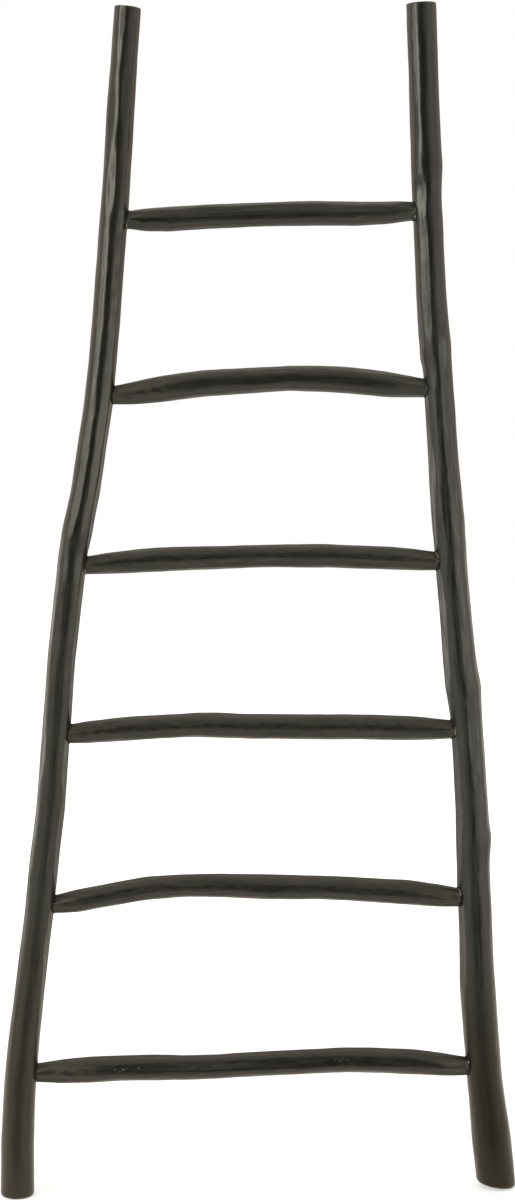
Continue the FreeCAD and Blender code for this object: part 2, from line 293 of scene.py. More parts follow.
def linear(code):
    """A scene-linear colour from an sRGB hex code."""
    shares = [int(code[i:i + 2], 16) / 255 for i in (1, 3, 5)]
    return [s / 12.92 if s <= 0.04045 else ((s + 0.055) / 1.055) ** 2.4 for s in shares] + [1.0]


# Black-stained young wood under satin lacquer. The stain leaves the fibres a little browner where it took
# less, and the lacquer fills the grain to a low sheen, with streaks and dull places where it has been rubbed.
# Whittled ends and scuffs are paler and duller, and rims that rub on walls and floors show brown wood.
STAIN = "#151412"
THIN_STAIN = "#221f1c"
FOOT_STAIN = "#1a160d"
PARED_STAIN = "#2a2621"
WORN_WOOD = "#4b3d2d"
CHIPPED_WOOD = "#a7a499"
END_WOOD = "#2e2820"
END_RING = "#1b1814"
LACQUER_IOR = 1.5
# Single fibres are too fine to show, so they are drawn in bundles about a millimetre wide
FIBRE_WIDTH = 1.1 * MM
FIBRE_LENGTH = 38 * MM
FIBRE_DEPTH = 0.05 * MM
PATCH_WIDTH = 9 * MM
PATCH_LENGTH = 70 * MM
DIMPLE_WIDTH = 5 * MM
DIMPLE_LENGTH = 14 * MM
DIMPLE_DEPTH = 0.25 * MM
STREAK_WIDTH = 3.5 * MM
STREAK_LENGTH = 40 * MM
RING_GAP = 2.4 * MM
RING_WOBBLE = 3 * MM
RING_WOBBLE_WIDTH = 50 / 3 * MM
PITH_PLACE = (3 * MM, -2 * MM, 0)
# Between which levels of its pattern each of these goes from none to full
THIN_STAIN_FROM, THIN_STAIN_TO = 0.45, 0.8
MOTTLE_FROM, MOTTLE_TO = 0.36, 0.56
RIM_FROM, RIM_TO = 0.3, 0.8
PATCH_FROM, PATCH_TO = 0.3, 0.7
STREAK_FROM, STREAK_TO = 0.38, 0.58
STEEP_FROM, STEEP_TO = 0.45, 0.7
# Roughness of the lacquer in its glossiest and dullest patches, and what fibres, paring and sawing add to it
GLOSSY_PATCH = 0.1
DULL_PATCH = 0.2
FIBRE_DULLNESS = 0.06
PARED_DULLNESS = 0.2
SAWN_DULLNESS = 0.25
# How much of the rubbed dullness is left in the glossy streaks, and how much there is all over the foot
GLOSSY_STREAK = 0.1
DULL_FOOT = 0.8
STREAK_RELIEF = 0.7


def along_grain(tree, grain, width, length, detail, roughness):
    """A pattern drawn out along the branch, as wide and long as the marks that it stands for."""
    place = add_node(tree, "ShaderNodeMapping",
                     {"Vector": grain.outputs["Vector"], "Scale": (1 / width, 1 / width, 1 / length)})
    return add_node(tree, "ShaderNodeTexNoise",
                    {"Vector": place, "Scale": 1.0, "Detail": detail, "Roughness": roughness})


def growth_rings(tree, flat):
    """Uneven rings round the pith, which lies a little off the middle."""
    wobble = add_node(tree, "ShaderNodeTexNoise",
                      {"Vector": flat, "Scale": 1 / RING_WOBBLE_WIDTH, "Detail": 2.0})
    pith = add_node(tree, "ShaderNodeVectorMath", {0: flat, 1: PITH_PLACE}, operation="SUBTRACT")
    distance = add_node(tree, "ShaderNodeVectorMath", {0: pith}, operation="LENGTH")
    uneven = add_node(tree, "ShaderNodeMath",
                      {0: wobble, 1: RING_WOBBLE, 2: distance.outputs["Value"]}, operation="MULTIPLY_ADD")
    turns = add_node(tree, "ShaderNodeMath", {0: uneven, 1: 2 * math.pi / RING_GAP}, operation="MULTIPLY")
    rings = add_node(tree, "ShaderNodeMath", {0: turns}, operation="SINE")
    return add_node(tree, "ShaderNodeMapRange", {"Value": rings, "From Min": -1.0, "From Max": 1.0})


def rubbed_dullness(tree, height, damp_and_shade_share, streaks, rubbed):
    """Dull and glossier streaks over the rubbed stretch of a branch, and a foot that is dull all over."""
    rubbed_from, rubbed_to, dullness = rubbed
    share = add_node(tree, "ShaderNodeMapRange",
                     {"Value": height, "From Min": rubbed_from, "From Max": rubbed_to})
    streaky = add_node(tree, "ShaderNodeMapRange",
                       {"Value": streaks, "From Min": STREAK_FROM, "From Max": STREAK_TO,
                        "To Min": GLOSSY_STREAK * dullness, "To Max": dullness})
    foot = add_node(tree, "ShaderNodeMath", {0: damp_and_shade_share, 1: DULL_FOOT * dullness}, operation="MULTIPLY")
    level = add_node(tree, "ShaderNodeMath", {0: streaky, 1: foot}, operation="MAXIMUM")
    return add_node(tree, "ShaderNodeMath", {0: share, 1: level}, operation="MULTIPLY")


def lacquered_branch_wood(name, lacquer_and_foot_shade, damp_and_shade_heights, rubbed, matt_sides):
    """The wood of one kind of branch, with the tints of its lacquer's reflections above and at the foot,
    where a darker foot tint is painted shade, the heights between which it turns browner towards the floor
    and takes on the foot tint, those between which the lacquer is rubbed dull and how dull, and how dull it
    is above and below, where sanding paper and brush reach less well."""
    material = bpy.data.materials.new(name)
    material.use_nodes = True
    tree = material.node_tree
    surface = tree.nodes["Principled BSDF"]
    grain, end, wear, pared, chip = [add_node(tree, "ShaderNodeAttribute", attribute_name=mark)
                                     for mark in ("grain", "end_grain", "wear", "pared", "chip")]
    fibres = along_grain(tree, grain, FIBRE_WIDTH, FIBRE_LENGTH, detail=3.0, roughness=0.6)
    patches = along_grain(tree, grain, PATCH_WIDTH, PATCH_LENGTH, detail=2.0, roughness=0.5)
    dimples = along_grain(tree, grain, DIMPLE_WIDTH, DIMPLE_LENGTH, detail=1.0, roughness=0.4)
    streaks = along_grain(tree, grain, STREAK_WIDTH, STREAK_LENGTH, detail=1.0, roughness=0.4)
    # Growth rings, which only the sawn ends show
    place = add_node(tree, "ShaderNodeSeparateXYZ", {0: grain.outputs["Vector"]})
    flat = add_node(tree, "ShaderNodeCombineXYZ", {"X": place.outputs["X"], "Y": place.outputs["Y"]})
    rings = growth_rings(tree, flat)
    end_colour = add_node(tree, "ShaderNodeMix",
                          {0: rings, 6: linear(END_WOOD), 7: linear(END_RING)}, data_type="RGBA")
    stain_share = add_node(tree, "ShaderNodeMapRange",
                           {"Value": fibres, "From Min": THIN_STAIN_FROM, "From Max": THIN_STAIN_TO})
    # The stain is browner towards the floor, where mops and damp have thinned it. There the lacquer's
    # reflections also take the foot tint, which on the right pole is darker: painted shade.
    spot = add_node(tree, "ShaderNodeTexCoord")
    level = add_node(tree, "ShaderNodeSeparateXYZ", {0: spot.outputs["Object"]})
    damp_and_shade_share = add_node(tree, "ShaderNodeMapRange",
                          {"Value": level.outputs["Z"], "From Min": damp_and_shade_heights[0], "From Max": damp_and_shade_heights[1]})
    reflection_tint_and_shade = add_node(tree, "ShaderNodeMix",
                     {0: damp_and_shade_share, 6: linear(lacquer_and_foot_shade[0]), 7: linear(lacquer_and_foot_shade[1])}, data_type="RGBA")
    # Whittled ends are coarser than sanded wood, so they are paler and duller in patches
    mottle = add_node(tree, "ShaderNodeMapRange",
                      {"Value": dimples, "From Min": MOTTLE_FROM, "From Max": MOTTLE_TO})
    pared_share = add_node(tree, "ShaderNodeMath",
                           {0: pared.outputs["Fac"], 1: mottle}, operation="MULTIPLY")
    rims = add_node(tree, "ShaderNodeMath", {0: wear.outputs["Fac"], 1: patches}, operation="MULTIPLY")
    rim_share = add_node(tree, "ShaderNodeMapRange",
                         {"Value": rims, "From Min": RIM_FROM, "From Max": RIM_TO})
    colour = linear(STAIN)
    for share, shade in ((stain_share, linear(THIN_STAIN)), (damp_and_shade_share, linear(FOOT_STAIN)),
                         (pared_share, linear(PARED_STAIN)), (end.outputs["Fac"], end_colour.outputs[2]),
                         (rim_share, linear(WORN_WOOD)), (chip.outputs["Fac"], linear(CHIPPED_WOOD))):
        layer = add_node(tree, "ShaderNodeMix", {0: share, 6: colour, 7: shade}, data_type="RGBA")
        colour = layer.outputs[2]
    # The sheen changes in patches, and is duller on the fibres and where the wood is rubbed, pared or sawn
    rubbed_dull = rubbed_dullness(tree, level.outputs["Z"], damp_and_shade_share, streaks, rubbed)
    round_off = add_node(tree, "ShaderNodeVectorMath", {0: flat}, operation="NORMALIZE")
    upright = add_node(tree, "ShaderNodeSeparateXYZ", {0: round_off})
    steep = add_node(tree, "ShaderNodeMath", {0: upright.outputs["Y"]}, operation="ABSOLUTE")
    steep_dull = add_node(tree, "ShaderNodeMapRange",
                          {"Value": steep, "From Min": STEEP_FROM, "From Max": STEEP_TO,
                           "To Max": matt_sides})
    dull = add_node(tree, "ShaderNodeMapRange",
                    {"Value": patches, "From Min": PATCH_FROM, "From Max": PATCH_TO, "To Min": GLOSSY_PATCH,
                     "To Max": DULL_PATCH})
    for share, dullness in ((fibres, FIBRE_DULLNESS), (rubbed_dull, 1.0), (steep_dull, 1.0),
                            (pared_share, PARED_DULLNESS), (end.outputs["Fac"], SAWN_DULLNESS)):
        dull = add_node(tree, "ShaderNodeMath", {0: share, 1: dullness, 2: dull}, operation="MULTIPLY_ADD")
    # The coat follows the marks of the hand, and shows a trace of the fibres and of the rings
    ring_relief = add_node(tree, "ShaderNodeMath", {0: rings, 1: end.outputs["Fac"]}, operation="MULTIPLY")
    relief = add_node(tree, "ShaderNodeMath", {0: fibres, 1: ring_relief}, operation="ADD")
    hand_marks = add_node(tree, "ShaderNodeMath",
                          {0: streaks, 1: STREAK_RELIEF, 2: dimples}, operation="MULTIPLY_ADD")
    uneven_coat = add_node(tree, "ShaderNodeBump",
                           {"Height": hand_marks, "Strength": 1.0, "Distance": DIMPLE_DEPTH})
    bump = add_node(tree, "ShaderNodeBump",
                    {"Height": relief, "Strength": 0.5, "Distance": FIBRE_DEPTH, "Normal": uneven_coat})
    tree.links.new(colour, surface.inputs["Base Color"])
    tree.links.new(dull.outputs[0], surface.inputs["Roughness"])
    tree.links.new(bump.outputs[0], surface.inputs["Normal"])
    tree.links.new(reflection_tint_and_shade.outputs[2], surface.inputs["Specular Tint"])
    surface.inputs["IOR"].default_value = LACQUER_IOR
    return material


pole_wood = {
    "left": lacquered_branch_wood("Black lacquered left pole wood", lacquer_and_foot_shade=("#fffdf3", "#fff9e6"),
                                  damp_and_shade_heights=(0.4, 0.13), rubbed=(0.85, 0.7, 0.2), matt_sides=0.0),
    # The right pole's darker foot tint dims the reflections on its lower part: painted shade
    "right": lacquered_branch_wood("Black lacquered right pole wood", lacquer_and_foot_shade=("#fcfef9", "#d0cabb"),
                                   damp_and_shade_heights=(0.34, 0.12), rubbed=(1.2, 1.05, 0.24), matt_sides=0.0),
}
sanding = sanding_tree()
pole_rounds = {}
poles = {}

# What the drawknife and the branch itself left on each pole, in millimetres and degrees. A flat is given by
# its height, its turn from the side seen by the camera (left is negative), its length and its depth; a
# hollow, or a knot if its depth is negative, by its height, turn, half length, half width and depth.
FACING = {"left": 271.5, "right": 262}
POLE_FLATS = {
    "left": ((1465, -20, 90, 0.4), (1384, 17, 78, 0.85), (1357, -42, 70, 0.7), (1279, -22, 88, 1.1),
             (1150, -28, 190, 0.5), (1160, 30, 200, 0.7), (985, 25, 150, 0.6), (905, -30, 180, 0.7),
             (720, -35, 110, 0.6), (652, 0, 108, 0.4), (577, -60, 82, 1.0), (560, 60, 84, 1.2),
             (455, 60, 120, 1.1), (455, 28, 112, 0.7), (320, 60, 130, 1.0), (300, 12, 52, 0.5),
             (215, -35, 140, 0.6), (100, 30, 120, 0.5)),
    "right": ((1414, -31, 232, 0.4), (1400, 34, 240, 0.6), (1163, -20, 178, 1.1), (1150, 42, 150, 0.6),
              (1257, -24, 44, 1.3), (985, 29, 200, 1.3), (1058, 29, 60, 1.0), (960, -38, 150, 0.6),
              (922, -59, 124, 1.3), (827, -25, 72, 0.8), (727, -59, 172, 1.5), (519, -59, 180, 1.5),
              (324, -59, 156, 1.5), (690, 32, 100, 0.7), (588, 22, 132, 1.2), (470, 36, 90, 0.7),
              (392, 42, 130, 0.8), (330, 5, 174, 0.45), (130, -12, 150, 0.5)),
}
POLE_HOLLOWS = {
    "left": ((1348, -4, 8, 22, -0.4), (1262, 2, 26, 20, 0.4), (412, -62, 9, 24, -0.6), (325, 0, 20, 18, 0.4)),
    "right": ((1273, -30, 15, 36, 2.4), (1300, 78, 13, 30, -0.7), (1062, -84, 13, 40, -2.3),
              (1078, 84, 10, 30, -0.6), (862, 80, 12, 30, -0.5), (649, 78, 12, 32, -0.8),
              (459, 82, 11, 30, -0.9), (267, -80, 14, 30, -0.5), (243, 4, 6, 22, -0.5)),
}
# How the real branch stands off the solid's plain rounds: at each height, how much stouter it is all round
# and how far it lies over to the right
POLE_LIE = {
    "left": ((20, 0.7, 0.3), (200, 0.9, 0.2), (330, 0.9, 0.8), (440, 0.9, 0.75), (560, 0.9, 1.3),
             (670, 1.0, 0.25), (800, 0.7, -0.1), (940, 0.5, 0.5), (1060, 0.3, 1.2), (1130, 0.25, 0.6),
             (1300, 0.45, 0.7), (1480, 0.35, 0.35)),
    "right": ((60, 0.2, -0.5), (200, 0.3, -0.9), (330, 0.9, -0.8), (450, 1.0, -0.8), (600, 0.35, -1.0),
              (680, 0.7, -0.9), (780, 0.6, -0.6), (940, 1.1, -0.8), (1020, 1.25, -1.0), (1100, 0.25, -0.5),
              (1300, 0.2, -0.6), (1480, 0.3, -0.3)),
}
# How far sanding has rounded the edges of the flats, and how far round the branch a flat can reach
SANDING = 0.08 * MM
FLAT_REACH = 0.3
# The flats on the back, which fall as the hand left them
BACK_FLATS = 18
BACK_FLAT_HEIGHTS = (60, 1440)
BACK_FLAT_TURNS = (125, 235)
BACK_FLAT_LENGTHS = (70, 190)
BACK_FLAT_DEPTHS = (0.4, 0.9)
BACK_FLAT_SEED = 20


def turned(around, degrees):
    """The turn from an angle given in degrees, between half a turn back and half a turn on."""
    return np.angle(np.exp(1j * (around - math.radians(degrees))))


def settled(along, around, radius, lie, sideways):
    """The radius of the stouter branch that lies a little off its plain rounds, over to that angle."""
    places, growth, shift = np.array(lie).T * MM
    stouter = radius + np.interp(along, places, growth)
    return stouter + np.interp(along, places, shift) * np.cos(around - sideways)


def shave(along, around, radius, flats, hollows, facing):
    """The radius left after knife flats with rounded ends and shallow hollows, with knots standing proud."""
    for height, turn, half_length, half_width, depth in hollows:
        off = turned(around, facing + turn) / math.radians(half_width)
        far = (along - height * MM) / (half_length * MM)
        radius = radius - depth * MM * np.exp(-off ** 2 - far ** 2)
    for height, turn, length, depth in flats:
        share = (along - height * MM) / (length * MM / 2)
        plane = radius - depth * MM * (1 - share ** 2)
        tilt = np.cos(turned(around, facing + turn))
        plane = plane / np.maximum(tilt, FLAT_REACH)
        cut = -SANDING * np.logaddexp(-radius / SANDING, -plane / SANDING)
        radius = np.where(tilt > FLAT_REACH, cut, radius)
    return radius


for number, side in enumerate(SIDES):
    node = f"{side}_pole"
    rounds = branch_rounds(node, POLE_LENGTHWAYS, POLE_END_MARGIN)
    cuts = [saw_cut(node, POLE_LENGTHWAYS, upper) for upper in (False, True)]
    dice = np.random.default_rng(BACK_FLAT_SEED + number)
    limits = (BACK_FLAT_HEIGHTS, BACK_FLAT_TURNS, BACK_FLAT_LENGTHS, BACK_FLAT_DEPTHS)
    back_flats = tuple(zip(*[dice.uniform(*limit, BACK_FLATS) for limit in limits]))

    def carved(along, around, radius):
        """The radius of this pole with its own lie, flats, hollows and knots."""
        radius = settled(along, around, radius, POLE_LIE[side], 0)
        return shave(along, around, radius, POLE_FLATS[side] + back_flats, POLE_HOLLOWS[side], FACING[side])

    mesh = branch_mesh(node, POLE_LENGTHWAYS, rounds, cuts, POLE_FACETS, POLE_RING_GAP, (FOOT_EDGE, TOP_EDGE),
                       carved)
    pole = grown(f"{side}_pole_branch", mesh, sanding,
                 {**POLE_SANDING, "Seed": POLE_SANDING_SEED + number, "Finish": pole_wood[side]})
    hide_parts(node)
    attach(pole, "root")
    pole_rounds[side] = rounds
    poles[side] = pole

# The rungs: six thinner branches, debarked and sanded as the poles are, and whittled down at both ends
# to a round tenon. Each tenon is glued into its socket and locked by a peg from behind.
RUNG_LENGTHWAYS = 0
RUNG_FACETS = 80
RUNG_RING_GAP = 2.0 * MM
RUNG_END_MARGIN = 4 * MM
TENON_EDGE = 1.0 * MM
RUNG_SANDING = {"Swell height": 0.5 * MM, "Swell length": 70 * MM, "Ripple height": 0.24 * MM,
                "Ripple length": 26 * MM}
RUNG_SANDING_SEED = 10.0
RUNGS = range(1, 7)
INWARDS = {"left": 1, "right": -1}
# Flats and hollows as on the poles, but by their place across the ladder and their turn down from the front
RUNG_FRONT = 180
RUNG_FLATS = {
    1: ((10, -17, 460, 1.5), (176, -24, 50, 0.7), (-120, -6, 70, 0.5)),
    2: ((-75, -26, 66, 0.8), (30, -8, 110, 0.4), (150, -6, 90, 0.4)),
    3: ((0, 24, 420, 0.6), (-95, -22, 60, 0.5), (20, 4, 120, 0.35)),
    4: ((0, 24, 420, 1.3), (60, -7, 220, 0.4), (-90, -7, 200, 0.4)),
    5: ((0, -3, 260, 0.5), (120, 8, 90, 0.4)),
    6: ((-10, -20, 340, 1.7), (0, 8, 320, 0.7), (150, -14, 80, 0.4)),
}
RUNG_HOLLOWS = {
    1: ((-39, -6, 14, 24, 0.5), (-115, -20, 6, 20, -0.3), (192, 6, 10, 20, 0.4)),
    2: ((114, 40, 11, 24, 0.6), (-20, 34, 10, 22, 0.4), (196, 30, 10, 22, -0.4)),
    3: ((-150, 10, 14, 24, 0.4), (150, 28, 12, 22, 0.4)),
    4: ((-30, 22, 10, 20, 0.4), (176, -14, 8, 20, -0.4)),
    5: ((-118, -8, 12, 26, -0.5), (60, 30, 14, 22, 0.3)),
    6: ((97, -36, 9, 26, 0.5), (-30, 30, 12, 22, 0.3)),
}
# How each rung stands off its solid's rounds: at each place across, how much stouter and higher it is
RUNG_LIE = {
    1: ((-235, 0.4, -0.8), (-173, 0.2, 0.6), (-141, 0.7, 0.1), (-100, 0.3, -1.4), (-47, -0.1, -1.0),
        (16, 0.3, 0.5), (70, 0.0, 1.5), (150, 0.5, 1.9), (204, 0.4, 1.5), (235, 0.9, 0.8)),
    2: ((-235, 0.5, -0.9), (-173, 0.55, -0.1), (-110, 0.05, 0.7), (-47, -0.2, 1.9), (16, 0.5, 0.8),
        (70, -0.1, 1.8), (110, 0.4, 0.9), (190, 0.35, 1.7), (235, 0.9, 1.2)),
    3: ((-235, 1.2, 0.0), (-190, 0.6, 0.1), (-125, 0.1, 0.55), (-65, 0.85, 0.05), (10, 0.35, -0.8),
        (60, 0.15, -0.6), (130, 0.45, 0.65), (200, 0.85, 0.0), (235, 1.2, 0.0)),
    4: ((-204, 0.35, 0.2), (-150, 0.65, 0.0), (-60, 0.55, 0.2), (0, 0.2, 0.05), (95, 0.15, 0.65),
        (150, 0.25, 0.2), (204, 1.0, -0.15)),
    5: ((-173, 1.1, -0.8), (-130, 1.0, -0.7), (-100, 0.6, 0.1), (-30, -0.1, 0.1), (30, 0.3, 0.0),
        (78, 0.25, 0.6), (110, 0.1, -0.1), (150, 0.6, -0.75), (204, 0.1, -0.8)),
    6: ((-141, 0.3, -1.0), (-60, 0.15, -0.3), (0, 0.15, -0.95), (80, 0.0, -0.7), (120, 0.4, -0.9),
        (173, 0.25, -0.3)),
}
# How deep the tenons sit, and how far the knife cuts of the whittled ends reach in from each pole
TENON_DEPTH = 22
WHITTLED = {1: (90, 58), 2: (38, 54), 3: (66, 34), 4: (30, 64), 5: (84, 46), 6: (22, 22)}
WHITTLE_TURNS = (-92, -34, 28, 86, 148, 206)
WHITTLE_TURN_SPREAD = 9
WHITTLE_LENGTH_SPREAD = (0.75, 1.1)
WHITTLE_DEPTHS = (0.8, 1.3)
WHITTLE_SEED = 40
# The shoulder at each end, where the rung was pared to fit: its length, its gap to the pole and what it lost
SHOULDER_LENGTH = 8 * MM
SHOULDER_GAP = 1 * MM
SHOULDER_LOSS = {"left": 0.8 * MM, "right": 2.2 * MM}
# How pale the whittled ends are, over how many millimetres that fades, and how scuffed each rung is between
# them, where 1 is as pale and dull as a whittled end on the left
PARED_PALENESS = {"left": 1.0, "right": 0.4}
PARED_FADE = 25
SCUFFED = {1: 0.18, 2: 0.4, 3: 0.45, 4: 0.35, 5: 0.1, 6: 0.15}
# Chips in the lacquer, by their place across, their turn down from the front and how bare they are
CHIPS = {
    1: ((-183, -10, 0.3), (-178, 2, 0.2), (-173, -8, 0.6), (-169, -15, 0.15), (-154, -14, 0.3),
        (-82, -10, 0.12), (-60, -14, 0.12), (97, -26, 0.15), (102, -20, 0.3), (107, -28, 0.15),
        (113, -18, 0.2)),
    2: ((-149, -12, 0.15), (-141, -5, 0.12), (182, 8, 0.15), (204, 9, 0.12)),
}
# Heights under the floor, since damp and mops reach no rung
NOWHERE = (0, -1)
rung_wood = lacquered_branch_wood("Black lacquered rung wood", lacquer_and_foot_shade=("#fffcf1", "#fffcf1"),
                                  damp_and_shade_heights=NOWHERE, rubbed=(*NOWHERE, 0.0), matt_sides=0.18)
rungs = {}
rung_rounds = {}


def mark_rung(mesh, number, ends):
    """Marks on a rung's mesh where it is scuffed or pared with a knife, and where the lacquer is chipped."""
    place = np.array([vertex.co.x for vertex in mesh.vertices])
    grain = np.array([point.vector for point in mesh.attributes["grain"].data])
    heading = np.arctan2(grain[:, 1], grain[:, 0])
    wide = np.hypot(grain[:, 0], grain[:, 1])
    pared = np.full(len(place), SCUFFED[number])
    for end, reach, side in zip(ends, WHITTLED[number], SIDES):
        share = np.clip((reach - np.abs(place / MM - end)) / PARED_FADE, 0, 1)
        pared = np.maximum(pared, share * PARED_PALENESS[side])
    chip = np.zeros(len(place))
    for across, turn, bareness in CHIPS.get(number, ()):
        off = turned(heading, RUNG_FRONT + turn) * wide
        chip[np.argmin(np.hypot(place - across * MM, off))] = bareness
    for name, values in (("pared", pared), ("chip", chip)):
        mesh.attributes.new(name, "FLOAT", "POINT").data.foreach_set("value", values)


def eased(along, around, radius, rounds):
    """The radius with the front and back of each end pared round, where the rung was fitted to its socket."""
    levels, u, v, radii = rounds
    y = np.interp(along, levels, u) + radius * np.cos(around)
    z = np.interp(along, levels, v) + radius * np.sin(around)
    for side in SIDES:
        heights, x_middle, y_middle, wide = pole_rounds[side]
        off = y - np.interp(z, heights, y_middle)
        reach = np.sqrt(np.maximum(np.interp(z, heights, wide) ** 2 - off ** 2, 0))
        gap = INWARDS[side] * (along - np.interp(z, heights, x_middle)) - reach - SHOULDER_GAP
        near = np.clip(1 - gap / SHOULDER_LENGTH, 0, 1)
        radius = radius - SHOULDER_LOSS[side] * near ** 2 * np.cos(around) ** 2
    return radius


def whittling(number, ends):
    """The knife flats round both ends of a rung, uneven as a hand makes them."""
    dice = np.random.default_rng(WHITTLE_SEED + number)
    flats = []
    for end, reach in zip(ends, WHITTLED[number]):
        for turn in WHITTLE_TURNS:
            length = 2 * reach * dice.uniform(*WHITTLE_LENGTH_SPREAD)
            turn += dice.uniform(-WHITTLE_TURN_SPREAD, WHITTLE_TURN_SPREAD)
            flats.append((end, turn, length, dice.uniform(*WHITTLE_DEPTHS)))
    return tuple(flats)


for number in RUNGS:
    node = f"rung_{number}"
    rounds = branch_rounds(node, RUNG_LENGTHWAYS, RUNG_END_MARGIN)
    cuts = [saw_cut(node, RUNG_LENGTHWAYS, upper) for upper in (False, True)]
    spread = [corner.co.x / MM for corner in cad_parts[node].data.vertices]
    ends = (min(spread) + TENON_DEPTH, max(spread) - TENON_DEPTH)
    flats = RUNG_FLATS[number] + whittling(number, ends)

    def carved(along, around, radius):
        """The radius of this rung with its own lie, flats, hollows, knots and fitted ends."""
        radius = settled(along, around, radius, RUNG_LIE[number], math.pi / 2)
        radius = shave(along, around, radius, flats, RUNG_HOLLOWS[number], RUNG_FRONT)
        return eased(along, around, radius, rounds)

    mesh = branch_mesh(node, RUNG_LENGTHWAYS, rounds, cuts, RUNG_FACETS, RUNG_RING_GAP, (TENON_EDGE,) * 2,
                       carved)
    mark_rung(mesh, number, ends)
    rung = grown(f"rung_{number}_branch", mesh, sanding,
                 {**RUNG_SANDING, "Seed": RUNG_SANDING_SEED + number, "Finish": rung_wood})
    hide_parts(node)
    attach(rung, "root")
    rungs[number] = rung
    rung_rounds[number] = rounds

# The glue beads: wood glue squeezed out round each tenon, wiped off and stained over with the wood.
# Each is a thin uneven ring in the corner between rung and pole, black and dull so that it also paints the
# shade of that corner, and a few stayed bare and pale in places.
BEAD_STEPS = 48
BEAD_SECTION_STEPS = 8
BEAD_RADIUS = 0.9 * MM
BEAD_UNEVENNESS = 0.45
BEAD_LUMP_LENGTH = 50 / 11 * MM
# What wiping took off the bead where it was left bare, and those places in degrees round the rung, where 90
# is its top, 180 its front and 270 its underside
BARE_THINNING = -0.5
BARE_GLUE = {
    ("left", 6): (205, 245), ("right", 6): (212, 236), ("left", 4): (206, 250), ("right", 4): (118, 152),
    ("right", 3): (158, 212), ("right", 2): (112, 150), ("left", 1): (232, 272), ("right", 1): (130, 150),
}
# Black and dull enough to paint the shade in the corner as well as the stained glue
GLUE_AND_CREVICE_SHADE = "#0d0c0b"
BARE = "#b3aa97"
GLUE_ROUGHNESS = 0.6
GLUE_IOR = 1.3
# Where the search for the corner starts: a little in from the shoulder, and well outside the rung
CORNER_START = TENON_DEPTH + 3
OUTSIDE_RUNG = 60 * MM


def solid_tree(piece):
    """The faces of a piece, to cast rays at."""
    return BVHTree.FromPolygons([vertex.co for vertex in piece.data.vertices],
                                [face.vertices for face in piece.data.polygons])


def bead_tree():
    """Nodes that lay an uneven round bead along a closed line."""
    tree, given = start_tree("Glue bead", ("Radius", "Unevenness", "Seed"))
    line = add_node(tree, "GeometryNodeMeshToCurve", {"Mesh": given.outputs["Shape"]})
    place = add_node(tree, "GeometryNodeInputPosition")
    noise = add_node(tree, "ShaderNodeTexNoise",
                     {"Vector": place, "W": given.outputs["Seed"], "Scale": 1 / BEAD_LUMP_LENGTH,
                      "Detail": 2.0}, noise_dimensions="4D")
    thin = add_node(tree, "ShaderNodeMath", {0: 1.0, 1: given.outputs["Unevenness"]}, operation="SUBTRACT")
    full = add_node(tree, "ShaderNodeMath", {0: 1.0, 1: given.outputs["Unevenness"]}, operation="ADD")
    share = add_node(tree, "ShaderNodeMapRange",
                     {"Value": noise, "From Min": 0.3, "From Max": 0.7, "To Min": thin, "To Max": full})
    bare = add_node(tree, "GeometryNodeInputNamedAttribute", {"Name": "bare"}, data_type="FLOAT")
    wiped = add_node(tree, "ShaderNodeMath", {0: bare, 1: BARE_THINNING, 2: 1.0}, operation="MULTIPLY_ADD")
    round_share = add_node(tree, "ShaderNodeMath", {0: share, 1: wiped}, operation="MULTIPLY")
    radius = add_node(tree, "ShaderNodeMath",
                      {0: round_share, 1: given.outputs["Radius"]}, operation="MULTIPLY")
    sized = add_node(tree, "GeometryNodeSetCurveRadius", {"Curve": line, "Radius": radius})
    section = add_node(tree, "GeometryNodeCurvePrimitiveCircle",
                       {"Resolution": BEAD_SECTION_STEPS, "Radius": 1.0})
    tube = add_node(tree, "GeometryNodeCurveToMesh",
                    {"Curve": sized, "Profile Curve": section.outputs["Curve"], "Scale": radius})
    end_tree(tree, given, tube)
    return tree


def glue_and_painted_crevice_shade():
    """Dried wood glue, black with stain and dull, which also paints the shade in the corner between rung
    and pole, and pale where the stain never took.
    """
    material = bpy.data.materials.new("Stained wood glue and painted crevice shade")
    material.use_nodes = True
    tree = material.node_tree
    bare = add_node(tree, "ShaderNodeAttribute", attribute_name="bare")
    colour = add_node(tree, "ShaderNodeMix",
                      {0: bare.outputs["Fac"], 6: linear(GLUE_AND_CREVICE_SHADE), 7: linear(BARE)}, data_type="RGBA")
    surface = tree.nodes["Principled BSDF"]
    tree.links.new(colour.outputs[2], surface.inputs["Base Color"])
    surface.inputs["Roughness"].default_value = GLUE_ROUGHNESS
    surface.inputs["IOR"].default_value = GLUE_IOR
    return material


def joint_line(side, number, pole_skin, rung_skin):
    """The corner between a rung and a pole as points all round the rung, and how bare the glue is at each."""
    levels, u, v, radii = rung_rounds[number]
    inwards = INWARDS[side]
    middle = levels[len(levels) // 2]
    first, last = BARE_GLUE.get((side, number), (0, 0))
    points, bareness = [], []
    for turn in np.arange(BEAD_STEPS) * 360 / BEAD_STEPS:
        outwards = Vector((0, math.cos(math.radians(turn)), math.sin(math.radians(turn))))
        x = levels[0 if side == "left" else -1] + inwards * CORNER_START * MM
        for step in range(SETTLING_STEPS):
            axis = Vector((x, np.interp(x, levels, u), np.interp(x, levels, v)))
            skin = rung_skin.ray_cast(axis + outwards * OUTSIDE_RUNG, -outwards)[0]
            start = Vector((middle, skin.y, skin.z))
            x = pole_skin.ray_cast(start, Vector((-inwards, 0, 0)))[0].x
        points.append((x, skin.y, skin.z))
        bareness.append(1.0 if first < turn < last else 0.0)
    return points, bareness


